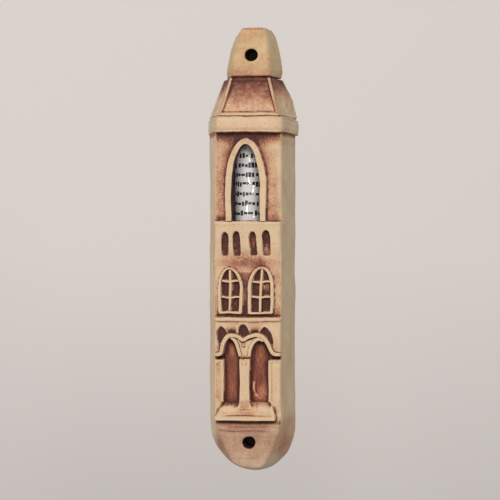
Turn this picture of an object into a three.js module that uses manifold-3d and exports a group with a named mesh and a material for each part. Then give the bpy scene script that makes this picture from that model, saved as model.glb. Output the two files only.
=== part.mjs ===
// A wall-hung ceramic mezuzah case in the shape of a small stone tower.
// The case is a thick clay shell with strips and slabs of clay luted onto it, and a round-fronted
// trough up its back. A rolled scroll in a clear film sleeve lies in the trough, behind an arched window.
//
// Frame: millimetres. The origin is the middle of the back, in the plane of the wall.
// +X is to the right of somebody facing the tower, +Y goes into the wall and +Z is up.
// "Depth" is how far a face stands in front of the wall, so a face at depth d lies at y = -d.
import * as THREE from "three";
import { mergeVertices } from "three/addons/utils/BufferGeometryUtils.js";
import Module from "manifold-3d";

const wasm = await Module();
wasm.setup();

// ---- Driving dimensions -------------------------------------------------------------------

const SLIP = 0.12; // the layer of slip that lutes one piece of clay to the next

const TOWER = { top: 55, backHalf: 18.1, frontHalf: 13.7, depth: 17.5, cornerRadius: 0.9 };
const TONGUE = { top: -70, depthTop: 18, fall: 0.12 };
// The rounded end of the tower: its outline against the wall, and the edge of its front face.
const TONGUE_BACK = [
  [-18.1, -70], [-17.4, -77], [-15.2, -82.4], [-12, -86.4], [-7.6, -90.2], [0.2, -92.8],
  [7.6, -91.3], [12.4, -87.8], [16, -83.5], [17.9, -77.5], [18.1, -70],
];
const TONGUE_FRONT = [
  [-13.7, -70], [-12.1, -75.5], [-10.2, -80.8], [-7.8, -85.6], [-5.2, -88.6], [0.3, -90.2],
  [5.6, -89.6], [8.3, -85.4], [10.5, -79.8], [12.2, -74.8], [13.7, -70],
];
const PLATE_DEPTH = 19.2; // the raised ground of the lower storeys
const RECESS_DEPTH = 16.3; // the sunk ground of window panes, slits and doors

const ROLL = { x: -0.9, depth: 7.4, filmOuter: 6.5, filmInner: 6.25, filmBottom: -53.7, filmTop: 48.3 };
const SCROLL = { outer: 5.9, inner: 3, bottom: -52.7, top: 47.3, lip: 0.35 };
const TROUGH = { radius: 7.05, bottom: -54, top: 50 };

const SCREW_HOLE = { radius: 2.55, upperX: 0.8, upperZ: 80.6, lowerX: 0.25, lowerZ: -79.2 };

const CORNICE = { bottom: 48.4, top: 54.8, backHalf: 19.3, frontHalf: 13.7, depth: 21, x: 0.5 };
const ROOF_STRIP = { bottom: 55, top: 56.3, backHalf: 19.1, frontHalf: 12.3, depth: 19.4 };
const ROOF = {
  x: 0.3, bottom: 55, top: 71.4,
  bottomBack: 18.8, bottomFront: 11.7, bottomDepth: 18.4,
  topBack: 12.4, topFront: 7.6, topDepth: 13, bulge: 1.1,
};
const RIB_WIDTH = 1.15;
// The spire's plan from bottom to top: height, centre, half width at the wall and in front, depth.
const SPIRE_PLANS = [
  [71.6, 0.9, 11.5, 7.8, 13.7],
  [74.5, 0.9, 12.1, 7.9, 14.1],
  [79.5, 1.0, 11.4, 7.4, 13.7],
  [84.5, 1.1, 10.2, 6.5, 12.9],
  [89.5, 1.4, 8.6, 5.4, 11.8],
  [92.3, 1.5, 6.8, 4.7, 11.0],
];

const SCROLL_WINDOW = {
  x: -0.8, bottom: 12, spring: 25.6, depth: 20,
  innerHalf: 5.7, innerTop: 43.2, outerHalf: 8.45, outerTop: 45.5,
};

const SLIT_PANEL = {
  left: -13.3, right: 13.3,
  top: 11.65, topDepth: 19.5,
  bottom: -4.2, bottomDepth: 17.9,
};
const SLITS = [
  { x: -9.5, width: 3.1, top: 7.5, lean: 0.1 },
  { x: -4.7, width: 3.2, top: 7.9, lean: 0.3 },
  { x: 1.9, width: 3.0, top: 7.7, lean: 0.5 },
  { x: 7.4, width: 3.4, top: 8.2, lean: 0.3 },
];
const SLIT_BOTTOM = -2.6;

const STOREY_WINDOW = { half: 5.15, footHalf: 4.9, bottom: -26.2, spring: -16.2, top: -6.6, depth: 19.1 };
const WINDOWS = [
  {
    side: "left", x: -7.25, scale: 1, top: -0.6,
    mullionTop: 0.3, mullionFoot: -0.35, upperBar: -12.8,
  },
  {
    side: "right", x: 5.35, scale: 1.04, top: -0.3,
    mullionTop: 0.35, mullionFoot: -0.45, upperBar: -13.2,
  },
];
const WINDOW_RIM = 1.2;
const WINDOW_SILL = 0.8;
const GLAZING = { mullion: 0.95, bar: 0.75, lowerBar: -19.4, depth: 18.5 };

const STRING_COURSE = { bottom: -29.3, top: -27.8, depth: 20, left: -13.4, right: 13.3 };

const ARCADE = { top: -29.45, left: -13.3, right: 13.2, lunetteFloor: 18 };
const HOOD_WIDTH = 1.5;
const HOOD_DEPTH = 20.5;
const ARCH_WIDTH = 1.35;
const ARCH_DEPTH = 20;
// The hood mould's centre line: a flat end, two round arches with a dip between them, a flat end.
const HOOD_LINE = [
  [-13.3, -42.9], [-11.5, -42.7], [-10.7, -41.6], [-9.9, -38.1], [-8.1, -35.4], [-6.2, -35],
  [-4, -35.5], [-2.1, -36.8], [-0.1, -35.6], [2.2, -34.9], [4, -34.9], [6.3, -35.9],
  [8.4, -38.4], [9.8, -41.3], [10.9, -42.6], [13.2, -42.9],
];
const LEFT_ARCH_LINE = [[-6.9, -35.6], [-5.4, -37.1], [-4.2, -39.6], [-3.4, -42.1], [-3.1, -43.7]];
const RIGHT_ARCH_LINE = [[0.7, -43.7], [1, -40.9], [1.95, -38.4], [3.2, -37], [4.8, -36.5], [6.6, -37.1]];
// Each lunette is a smooth closed loop pressed into the ground above the hood.
const LUNETTES = [
  [
    [-11.2, -31.2], [-9.8, -32.3], [-8.7, -33.9], [-8.9, -35.7],
    [-10.2, -38.4], [-11.4, -39.8], [-12.1, -38], [-12.4, -35.8], [-12.5, -33.4],
  ],
  [
    [-1.1, -30.5], [-0.1, -32], [0.3, -33.8], [0.6, -35.6],
    [-2.1, -37], [-4.3, -35.6], [-3.9, -33.8], [-3.7, -31.8], [-2.6, -30.6],
  ],
  [
    [6.7, -31.6], [8.5, -32.8], [9.8, -34.6], [10.4, -37.1], [10.5, -40],
    [9.2, -39.2], [7.7, -37], [6.1, -35.5], [4.9, -34.4], [5.4, -32.8],
  ],
];
const DOORS = [
  { side: "left", left: -9.9, right: -3.45, foot: -62.6, spring: -41.5, top: -36.6 },
  { side: "right", left: 1.1, right: 8.6, foot: -62.6, spring: -42.2, top: -37.3 },
];
const DOOR_LEAF = 0.7; // thickness of the clay slab that lies in each door recess
const COLUMN = { x: -1.2, half: 2.2, footHalf: 3.1, top: -44.8, bottom: -65.3, depth: 20 };
const PILASTER = { top: -45.3, bottom: -62.4, toe: -68.9, outer: 13.3, depth: 19.3 };
// Each pilaster's upright groove, and the slot over its head: left, right, floor depth.
const PILASTER_GROOVES = { left: [-12.7, -11.5, 18.75], right: [9.7, 10.2, 19] };
const IMPOST_SLOTS = { left: [-13.3, -10.2, 16.4], right: [10.1, 13.3, 16.4] };
const IMPOST_SLOT_Z = [-45.2, -43.8];
const SPANDREL_DEPTH = 19.4;
const BEAD_RADIUS = 0.75;

const DOORSTEP = {
  topHalf: 9.75, footHalf: 12.3, x: -0.75, top: -62.7, nosing: -68.3, bottom: -69.8,
  topDepth: 17.7, nosingDepth: 21.6,
};

// ---- Solids -------------------------------------------------------------------------------

// A closed three.js geometry as a manifold-3d solid, and back.
function toSolid(geometry) {
  const bare = geometry.clone();
  bare.deleteAttribute("normal");
  bare.deleteAttribute("uv");
  const merged = mergeVertices(bare, 1e-4);
  return new wasm.Manifold(new wasm.Mesh({
    numProp: 3,
    vertProperties: merged.attributes.position.array,
    triVerts: new Uint32Array(merged.index.array),
  }));
}

function toGeometry(solid) {
  const mesh = solid.getMesh();
  const geometry = new THREE.BufferGeometry();
  geometry.setAttribute("position", new THREE.BufferAttribute(mesh.vertProperties, 3));
  geometry.setIndex(new THREE.BufferAttribute(mesh.triVerts, 1));
  geometry.computeVertexNormals();
  return geometry;
}

// An outline drawn facing the tower, in x and z, pushed from one depth to another.
function relief(shape, fromDepth, toDepth, segments = 10) {
  const geometry = new THREE.ExtrudeGeometry(shape, {
    depth: toDepth - fromDepth,
    bevelEnabled: false,
    curveSegments: segments,
  });
  geometry.rotateX(Math.PI / 2);
  geometry.translate(0, -fromDepth, 0);
  return toSolid(geometry);
}

// An outline drawn from above, in x and y, raised from one height to another.
function raised(shape, bottom, top, segments = 8) {
  const geometry = new THREE.ExtrudeGeometry(shape, {
    depth: top - bottom,
    bevelEnabled: false,
    curveSegments: segments,
  });
  geometry.translate(0, 0, bottom);
  return toSolid(geometry);
}

// A side profile of [depth, z] points, swept from one x to another.
function profiled(points, left, right) {
  const shape = new THREE.Shape(points.map(([depth, z]) => new THREE.Vector2(-depth, z)));
  const geometry = new THREE.ExtrudeGeometry(shape, { depth: right - left, bevelEnabled: false });
  const turn = new THREE.Matrix4().makeBasis(
    new THREE.Vector3(0, 1, 0),
    new THREE.Vector3(0, 0, 1),
    new THREE.Vector3(1, 0, 0),
  );
  geometry.applyMatrix4(turn);
  geometry.translate(left, 0, 0);
  return toSolid(geometry);
}

// A solid skin over rings of points, each ring with the same number of points, closed at both ends.
function loft(rings) {
  const count = rings[0].length;
  const index = [];
  for (let r = 0; r + 1 < rings.length; r++) {
    for (let i = 0; i < count; i++) {
      const next = (i + 1) % count;
      const [a, b] = [r * count + i, r * count + next];
      index.push(a, b, b + count, a, b + count, a + count);
    }
  }
  for (let i = 1; i + 1 < count; i++) {
    const last = (rings.length - 1) * count;
    index.push(0, i + 1, i);
    index.push(last, last + i, last + i + 1);
  }
  const geometry = new THREE.BufferGeometry().setFromPoints(rings.flat());
  geometry.setIndex(index);
  const solid = toSolid(geometry);
  if (solid.volume() > 0) return solid;
  const flipped = index.map((_, i) => index[i - (i % 3) + [0, 2, 1][i % 3]]);
  geometry.setIndex(flipped);
  return toSolid(geometry);
}

const smooth = (points) => new THREE.SplineCurve(points.map(([x, z]) => new THREE.Vector2(x, z)));

// A flat strip of clay laid along a smooth line through [x, z] points.
function strip(points, width, fromDepth, toDepth, steps) {
  const curve = smooth(points);
  const near = [];
  const far = [];
  for (let i = 0; i <= steps; i++) {
    const at = curve.getPoint(i / steps);
    const along = curve.getTangent(i / steps);
    const side = new THREE.Vector2(-along.y, along.x).multiplyScalar(width / 2);
    near.push(at.clone().add(side));
    far.unshift(at.clone().sub(side));
  }
  return relief(new THREE.Shape([...near, ...far]), fromDepth, toDepth);
}

// A hole or rod of round section straight through from the front to the wall.
function bore(x, z, radius, segments = 28) {
  const geometry = new THREE.CylinderGeometry(radius, radius, 40, segments);
  geometry.translate(x, -10, z);
  return toSolid(geometry);
}

function box(left, right, fromDepth, toDepth, bottom, top) {
  const geometry = new THREE.BoxGeometry(right - left, toDepth - fromDepth, top - bottom);
  geometry.translate((left + right) / 2, -(fromDepth + toDepth) / 2, (bottom + top) / 2);
  return toSolid(geometry);
}

// ---- Outlines -----------------------------------------------------------------------------

// The tower's plan: wide at the wall, narrower in front, with softened front corners.
function planShape({ backHalf, frontHalf, depth, x = 0 }, radius) {
  const slope = (backHalf - frontHalf) / depth;
  const shape = new THREE.Shape();
  shape.moveTo(x - backHalf, 0);
  shape.lineTo(x - frontHalf - radius * slope, -depth + radius);
  shape.quadraticCurveTo(x - frontHalf, -depth, x - frontHalf + radius, -depth);
  shape.lineTo(x + frontHalf - radius, -depth);
  shape.quadraticCurveTo(x + frontHalf, -depth, x + frontHalf + radius * slope, -depth + radius);
  shape.lineTo(x + backHalf, 0);
  shape.closePath();
  return shape;
}

// The same plan as a ring of eight points at one height. bulge pushes out its back right corner.
function planRing(z, x, backHalf, frontHalf, depth, soft, bulge = 0) {
  const slope = (backHalf - frontHalf) / depth;
  const corner = [
    [backHalf, 0],
    [frontHalf + soft * slope, depth - soft],
    [frontHalf - soft * 0.3, depth - soft * 0.3],
    [frontHalf - soft, depth],
  ];
  const right = corner.map(([half, d]) => new THREE.Vector3(x + half, -d, z));
  right[0].x += bulge;
  const left = corner.map(([half, d]) => new THREE.Vector3(x - half, -d, z)).reverse();
  return [...right, ...left];
}

// A tall arched outline standing on a level foot. corner rounds off the two ends of the foot.
function archShape(x, half, footHalf, bottom, spring, top, corner = 0) {
  const shape = new THREE.Shape();
  shape.moveTo(x - footHalf + corner, bottom);
  shape.lineTo(x + footHalf - corner, bottom);
  if (corner > 0) shape.quadraticCurveTo(x + footHalf, bottom, x + footHalf, bottom + corner);
  shape.lineTo(x + half, spring);
  shape.absellipse(x, spring, half, top - spring, 0, Math.PI, false, 0);
  if (corner > 0) {
    shape.lineTo(x - footHalf, bottom + corner);
    shape.quadraticCurveTo(x - footHalf, bottom, x - footHalf + corner, bottom);
  }
  shape.closePath();
  return shape;
}

// ---- Clay: the shell ----------------------------------------------------------------------

function tongue() {
  const ring = (outline, depthAt) => smooth(outline)
    .getPoints(40)
    .map((p) => new THREE.Vector3(p.x, -depthAt(p.y), p.y));
  const front = (z) => TONGUE.depthTop - TONGUE.fall * (TONGUE.top - z);
  return loft([ring(TONGUE_BACK, () => 0), ring(TONGUE_FRONT, front)]);
}

function trough() {
  const shape = new THREE.Shape();
  shape.moveTo(ROLL.x - TROUGH.radius, 1);
  shape.lineTo(ROLL.x - TROUGH.radius, -ROLL.depth);
  shape.absarc(ROLL.x, -ROLL.depth, TROUGH.radius, Math.PI, 2 * Math.PI, false);
  shape.lineTo(ROLL.x + TROUGH.radius, 1);
  shape.closePath();
  return raised(shape, TROUGH.bottom, TROUGH.top, 14);
}

function scrollWindowCut(depth) {
  const w = SCROLL_WINDOW;
  return relief(
    archShape(w.x, w.innerHalf, w.innerHalf, w.bottom - SLIP, w.spring, w.innerTop),
    ROLL.depth, depth,
  );
}

function slitCut({ x, width, top, lean }, toDepth) {
  const half = width / 2;
  const shape = new THREE.Shape();
  shape.moveTo(x - half + lean, SLIT_BOTTOM);
  shape.lineTo(x + half + lean, SLIT_BOTTOM);
  shape.lineTo(x + half, top - half * 1.6);
  shape.absellipse(x, top - half * 1.6, half, half * 1.6, 0, Math.PI, false, 0);
  shape.closePath();
  return relief(shape, RECESS_DEPTH + 0.3, toDepth, 6);
}

// The outline of a storey window, shrunk inwards by an inset. The sill is thinner than the jambs.
function storeyWindowShape({ x, scale, top }, inset) {
  const w = STOREY_WINDOW;
  return archShape(
    x, w.half * scale - inset, w.footHalf * scale - inset,
    w.bottom + (inset * WINDOW_SILL) / WINDOW_RIM, w.spring, w.top + top - inset * 0.8,
    inset > 0 ? 0.2 : 0.9,
  );
}

function doorShape({ left, right, foot, spring, top }, inset) {
  const x = (left + right) / 2;
  const half = (right - left) / 2 - inset;
  return archShape(x, half, half, foot + inset, spring, top - inset);
}

function towerShell() {
  let shell = raised(planShape(TOWER, TOWER.cornerRadius), TONGUE.top - 1, TOWER.top, 4).add(tongue());
  shell = shell.subtract(trough());
  shell = shell.subtract(scrollWindowCut(TOWER.depth + 1));
  shell = shell.subtract(bore(SCREW_HOLE.lowerX, SCREW_HOLE.lowerZ, SCREW_HOLE.radius));
  for (const slit of SLITS) shell = shell.subtract(slitCut(slit, TOWER.depth + 1));
  for (const window of WINDOWS) {
    const panes = relief(storeyWindowShape(window, WINDOW_RIM), RECESS_DEPTH, TOWER.depth + 1);
    shell = shell.subtract(panes);
  }
  for (const door of DOORS) {
    shell = shell.subtract(relief(doorShape(door, 0), RECESS_DEPTH - DOOR_LEAF, TOWER.depth + 1));
  }
  for (const [left, right, floor] of Object.values(IMPOST_SLOTS)) {
    shell = shell.subtract(box(left, right, floor, TOWER.depth + 1, ...IMPOST_SLOT_Z));
  }
  return shell;
}

// ---- Clay: the roof and spire -------------------------------------------------------------

function roofRing(z, margin) {
  const t = (z - ROOF.bottom) / (ROOF.top - ROOF.bottom);
  const mix = (a, b) => a + (b - a) * t + margin;
  return planRing(
    z, ROOF.x, mix(ROOF.bottomBack, ROOF.topBack), mix(ROOF.bottomFront, ROOF.topFront),
    mix(ROOF.bottomDepth, ROOF.topDepth), 0.6, t > 0.3 && t < 0.7 ? ROOF.bulge : 0,
  );
}

const roofLoft = (bottom, top, margin) => {
  const middle = (ROOF.bottom + ROOF.top) / 2;
  return loft([roofRing(bottom, margin), roofRing(middle, margin), roofRing(top, margin)]);
};

function roofBlock() {
  return roofLoft(ROOF.bottom + SLIP, ROOF.top, 0);
}

// A rib lies along one front corner of the roof and is trimmed to sit on it.
function roofRib(side) {
  const ringAt = (z) => {
    const t = (z - ROOF.bottom) / (ROOF.top - ROOF.bottom);
    const half = ROOF.bottomFront + (ROOF.topFront - ROOF.bottomFront) * t;
    const depth = ROOF.bottomDepth + (ROOF.topDepth - ROOF.bottomDepth) * t;
    const x = ROOF.x + side * (half + 0.15);
    const w = RIB_WIDTH / 2;
    return [[-w, -0.9], [w, -0.9], [w, 0.25], [w * 0.5, 0.55], [-w * 0.5, 0.55], [-w, 0.4]]
      .map(([dx, dd]) => new THREE.Vector3(x + side * dx, -(depth + dd), z));
  };
  const bar = loft([ringAt(ROOF_STRIP.top + SLIP), ringAt(ROOF.top - 0.2)]);
  return bar.subtract(roofLoft(ROOF.bottom, ROOF.top + 0.5, SLIP));
}

function spireBlock() {
  const rings = SPIRE_PLANS.map(([z, x, back, front, depth]) => planRing(z, x, back, front, depth, 1.2));
  return loft(rings).subtract(bore(SCREW_HOLE.upperX, SCREW_HOLE.upperZ, SCREW_HOLE.radius));
}

// A strip of clay bent round the front and both sides of the tower.
function wrapBand(band, radius, core) {
  const solid = raised(planShape(band, radius), band.bottom, band.top, 4);
  return solid.subtract(core);
}

function cornice() {
  const core = { ...TOWER, backHalf: TOWER.backHalf + SLIP, frontHalf: TOWER.frontHalf + SLIP };
  core.depth = TOWER.depth + SLIP;
  return wrapBand(CORNICE, 2.4, raised(planShape(core, TOWER.cornerRadius), 40, 60, 4));
}

function roofStrip() {
  const core = roofLoft(ROOF.bottom - 1, ROOF.top, SLIP);
  const band = { ...ROOF_STRIP, x: ROOF.x, bottom: ROOF_STRIP.bottom + SLIP };
  return wrapBand(band, 1.2, core);
}

// ---- Clay: pieces laid on the front -------------------------------------------------------

const LAID = TOWER.depth + SLIP; // the back of every piece laid on the tower's face

function scrollWindowFrame() {
  const w = SCROLL_WINDOW;
  const foot = SLIT_PANEL.top + SLIP;
  const outer = archShape(w.x, w.outerHalf, w.outerHalf - 0.4, foot, w.spring, w.outerTop);
  return relief(outer, LAID, w.depth, 16).subtract(
    relief(archShape(w.x, w.innerHalf, w.innerHalf, foot - 1, w.spring, w.innerTop), 10, 25, 16),
  );
}

function slitPanel() {
  const p = SLIT_PANEL;
  const profile = [
    [LAID, p.bottom], [p.bottomDepth, p.bottom],
    [p.topDepth, p.top - 0.5], [p.topDepth - 0.4, p.top], [LAID, p.top],
  ];
  let panel = profiled(profile, p.left, p.right);
  for (const slit of SLITS) panel = panel.subtract(slitCut(slit, 25));
  return panel;
}

function windowFrame(window) {
  return relief(storeyWindowShape(window, 0), LAID, STOREY_WINDOW.depth)
    .subtract(relief(storeyWindowShape(window, WINDOW_RIM), 10, 25));
}

// The mullion and two glazing bars of one window, trimmed to fit inside its frame.
function glazingBars({ x, scale, top, mullionTop, mullionFoot, upperBar, ...rest }) {
  const window = { x, scale, top, ...rest };
  const half = GLAZING.mullion / 2;
  const [head, foot] = [STOREY_WINDOW.top, STOREY_WINDOW.bottom];
  const mullion = new THREE.Shape([
    new THREE.Vector2(x + mullionFoot - half, foot),
    new THREE.Vector2(x + mullionFoot + half, foot),
    new THREE.Vector2(x + mullionTop + half, head),
    new THREE.Vector2(x + mullionTop - half, head),
  ]);
  let bars = relief(mullion, RECESS_DEPTH + SLIP, GLAZING.depth);
  for (const z of [upperBar, GLAZING.lowerBar]) {
    const wave = [[x - 5, z + 0.35], [x - 2, z], [x, z - 0.2], [x + 2.2, z + 0.2], [x + 5, z]];
    bars = bars.add(strip(wave, GLAZING.bar, RECESS_DEPTH + SLIP, GLAZING.depth - 0.1, 10));
  }
  return bars.intersect(relief(storeyWindowShape(window, WINDOW_RIM + SLIP), 10, 25));
}

function stringCourse() {
  const c = STRING_COURSE;
  return profiled(
    [[LAID, c.bottom], [c.depth - 0.3, c.bottom], [c.depth, c.bottom + 0.4], [c.depth, c.top - 0.4],
      [c.depth - 0.4, c.top], [LAID, c.top]],
    c.left, c.right,
  );
}

const hoodStrip = (width, fromDepth, toDepth) => strip(HOOD_LINE, width, fromDepth, toDepth, 48);

// The ground above the arches, with three lunettes pressed into it.
function arcadePanel() {
  const p = ARCADE;
  const line = smooth(HOOD_LINE).getPoints(48);
  const ground = new THREE.Shape([
    ...line, new THREE.Vector2(p.right, p.top), new THREE.Vector2(p.left, p.top),
  ]);
  let panel = relief(ground, LAID, PLATE_DEPTH);
  for (const loop of LUNETTES) {
    const outline = new THREE.Shape(smooth([...loop, loop[0]]).getPoints(24));
    panel = panel.subtract(relief(outline, p.lunetteFloor, 25));
  }
  return panel.subtract(hoodStrip(HOOD_WIDTH + 2 * SLIP, 10, 25));
}

function doorArch(line) {
  return strip(line, ARCH_WIDTH, LAID, ARCH_DEPTH, 16)
    .subtract(hoodStrip(HOOD_WIDTH + 2 * SLIP, 10, 25));
}

// The wedge of ground between the two arches, over the column.
function spandrel() {
  const wedge = new THREE.Shape([
    new THREE.Vector2(-5.2, -36), new THREE.Vector2(-3, -44.2), new THREE.Vector2(0.6, -44.2),
    new THREE.Vector2(3, -36), new THREE.Vector2(-1.8, -37.6),
  ]);
  let piece = relief(wedge, LAID, SPANDREL_DEPTH);
  piece = piece.subtract(hoodStrip(HOOD_WIDTH + 2 * SLIP, 10, 25));
  piece = piece.subtract(strip(LEFT_ARCH_LINE, ARCH_WIDTH + 2 * SLIP, 10, 25, 16));
  piece = piece.subtract(strip(RIGHT_ARCH_LINE, ARCH_WIDTH + 2 * SLIP, 10, 25, 16));
  return piece.decompose().sort((a, b) => b.volume() - a.volume())[0];
}

function spandrelBead() {
  const bead = new THREE.SphereGeometry(BEAD_RADIUS, 14, 10);
  bead.scale(1, 0.8, 1);
  bead.translate(-1.75, -(SPANDREL_DEPTH + SLIP + BEAD_RADIUS * 0.8), -39.2);
  return toSolid(bead);
}

function doorLeaf(door) {
  return relief(doorShape(door, SLIP), RECESS_DEPTH - DOOR_LEAF + SLIP, RECESS_DEPTH);
}

function column() {
  const c = COLUMN;
  const shape = new THREE.Shape();
  shape.moveTo(c.x - c.footHalf, c.bottom);
  shape.lineTo(c.x + c.footHalf, c.bottom);
  shape.quadraticCurveTo(c.x + c.half - 0.2, c.bottom + 2, c.x + c.half - 0.2, c.bottom + 5);
  shape.lineTo(c.x + c.half, c.top);
  shape.lineTo(c.x - c.half, c.top);
  shape.lineTo(c.x - c.half + 0.2, c.bottom + 5);
  shape.quadraticCurveTo(c.x - c.half + 0.2, c.bottom + 2, c.x - c.footHalf, c.bottom);
  return relief(shape, LAID, c.depth, 5).subtract(doorstepSolid(SLIP));
}

// A flat pilaster beside a door, with a shallow upright groove down its face.
function pilaster(side) {
  const p = PILASTER;
  const [left, right] = side === "left" ? [-p.outer, DOORS[0].left] : [DOORS[1].right, p.outer];
  const [grooveLeft, grooveRight, floor] = PILASTER_GROOVES[side];
  const slab = box(left, right, LAID, p.depth, p.toe, p.top).subtract(doorstepRoom());
  return slab.subtract(box(grooveLeft, grooveRight, floor, p.depth + 1, p.bottom + 1, p.top - 1.6));
}

// What is cut away round the step, so that a pilaster's toe runs down beside it.
function doorstepRoom() {
  const s = DOORSTEP;
  const gap = 0.35;
  const outline = new THREE.Shape([
    new THREE.Vector2(s.x - s.footHalf - gap, PILASTER.toe - 1),
    new THREE.Vector2(s.x + s.footHalf + gap, PILASTER.toe - 1),
    new THREE.Vector2(s.x + s.footHalf + gap, s.nosing),
    new THREE.Vector2(s.x + s.topHalf + gap, PILASTER.bottom),
    new THREE.Vector2(s.x - s.topHalf - gap, PILASTER.bottom),
    new THREE.Vector2(s.x - s.footHalf - gap, s.nosing),
  ]);
  return relief(outline, 10, 25);
}

// The step's side profile, cut to the trapezium that its front shows. margin swells it, as a cutter.
function doorstepSolid(margin) {
  const s = DOORSTEP;
  const profile = [
    [10, s.top + margin], [s.topDepth, s.top + margin],
    [s.nosingDepth - 0.9 + margin, s.nosing + 0.4 + margin],
    [s.nosingDepth - 0.4 + margin, s.nosing + margin], [s.nosingDepth + margin, s.nosing - 0.5],
    [s.nosingDepth + margin, s.bottom + 0.3],
    [s.nosingDepth - 0.4, s.bottom], [10, s.bottom],
  ];
  const tread = profiled(profile, -20, 20);
  const outline = new THREE.Shape([
    new THREE.Vector2(s.x - s.footHalf, s.bottom - 1),
    new THREE.Vector2(s.x + s.footHalf, s.bottom - 1),
    new THREE.Vector2(s.x + s.footHalf, s.nosing),
    new THREE.Vector2(s.x + s.topHalf, s.top + 1),
    new THREE.Vector2(s.x - s.topHalf, s.top + 1),
    new THREE.Vector2(s.x - s.footHalf, s.nosing),
  ]);
  return tread.intersect(relief(outline, margin > 0 ? 10 : LAID + 0.5, 30));
}

// ---- The roll: a film sleeve with the scroll inside ---------------------------------------

function roundTube(outer, inner, bottom, top, segments) {
  const profile = [
    new THREE.Vector2(inner, bottom), new THREE.Vector2(outer, bottom),
    new THREE.Vector2(outer, top), new THREE.Vector2(inner, top), new THREE.Vector2(inner, bottom),
  ];
  const geometry = new THREE.LatheGeometry(profile, segments);
  geometry.rotateX(Math.PI / 2);
  return geometry;
}

function filmSleeve() {
  const tube = roundTube(ROLL.filmOuter, ROLL.filmInner, ROLL.filmBottom, ROLL.filmTop, 40);
  tube.translate(ROLL.x, -ROLL.depth, 0);
  return toSolid(tube);
}

// The scroll's section: a sheet wound inwards from a raised outer lip to an open core.
function scroll() {
  const turn = 2 * Math.PI;
  const steps = 40;
  const shape = new THREE.Shape();
  for (let i = 0; i <= steps; i++) {
    const angle = (turn * i) / steps;
    const radius = SCROLL.outer - SCROLL.lip * (i / steps);
    const point = [radius * Math.cos(angle), radius * Math.sin(angle)];
    if (i === 0) shape.moveTo(...point);
    else shape.lineTo(...point);
  }
  shape.closePath();
  const core = new THREE.Path();
  core.absarc(0, 0, SCROLL.inner, 0, turn, true);
  shape.holes.push(core);
  const geometry = new THREE.ExtrudeGeometry(shape, {
    depth: SCROLL.top - SCROLL.bottom,
    bevelEnabled: false,
    curveSegments: 12,
  });
  geometry.rotateZ(Math.PI * 0.6);
  geometry.translate(ROLL.x, -ROLL.depth, SCROLL.bottom);
  return toSolid(geometry);
}

// ---- The assembly -------------------------------------------------------------------------

const rawClay = new THREE.MeshStandardMaterial({ color: 0xc9a27c, roughness: 0.9, metalness: 0 });
const paleClay = new THREE.MeshStandardMaterial({ color: 0xd9bd94, roughness: 0.85, metalness: 0 });
const oxideClay = new THREE.MeshStandardMaterial({ color: 0x7a4636, roughness: 0.8, metalness: 0 });
const clearFilm = new THREE.MeshStandardMaterial({
  color: 0xffffff, roughness: 0.08, metalness: 0, transparent: true, opacity: 0.3,
});
const scrollPaper = new THREE.MeshStandardMaterial({ color: 0xded8d4, roughness: 0.7, metalness: 0 });

function named(name, solid, material) {
  const mesh = new THREE.Mesh(toGeometry(solid), material);
  mesh.name = name;
  return mesh;
}

const caseGroup = new THREE.Group();
caseGroup.add(
  named("tower_shell", towerShell(), rawClay),
  named("roof_block", roofBlock(), rawClay),
  named("spire_block", spireBlock(), paleClay),
  named("cornice_band", cornice(), paleClay),
  named("roof_base_strip", roofStrip(), paleClay),
  named("left_roof_rib", roofRib(-1), paleClay),
  named("right_roof_rib", roofRib(1), paleClay),
  named("scroll_window_frame", scrollWindowFrame(), paleClay),
  named("slit_window_panel", slitPanel(), paleClay),
  named("string_course", stringCourse(), paleClay),
  named("arcade_panel", arcadePanel(), paleClay),
  named("arcade_hood_mould", hoodStrip(HOOD_WIDTH, LAID, HOOD_DEPTH), paleClay),
  named("left_door_arch", doorArch(LEFT_ARCH_LINE), paleClay),
  named("right_door_arch", doorArch(RIGHT_ARCH_LINE), paleClay),
  named("spandrel", spandrel(), paleClay),
  named("spandrel_bead", spandrelBead(), paleClay),
  named("centre_column", column(), paleClay),
  named("left_pilaster", pilaster("left"), paleClay),
  named("right_pilaster", pilaster("right"), paleClay),
  named("doorstep", doorstepSolid(0), paleClay),
);
for (const window of WINDOWS) {
  caseGroup.add(named(`${window.side}_window_frame`, windowFrame(window), paleClay));
  caseGroup.add(named(`${window.side}_glazing_bars`, glazingBars(window), paleClay));
}
for (const door of DOORS) caseGroup.add(named(`${door.side}_door_leaf`, doorLeaf(door), oxideClay));

const rollGroup = new THREE.Group();
rollGroup.add(
  named("film_sleeve", filmSleeve(), clearFilm),
  named("scroll", scroll(), scrollPaper),
);

const mezuzahCase = new THREE.Group();
mezuzahCase.add(caseGroup, rollGroup);

export default mezuzahCase;
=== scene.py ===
"""Looks of a wall-hung ceramic mezuzah case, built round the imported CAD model.

The clay pieces are re-made from their CAD solids as hand-worked clay, and a brown oxide wash is worked
out for the whole case at once: it stays where a sponge couldn't wipe it off. The film and the scroll are
built from scratch. Lengths are in millimetres until a mesh is made, then in metres.
"""

import math

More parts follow.
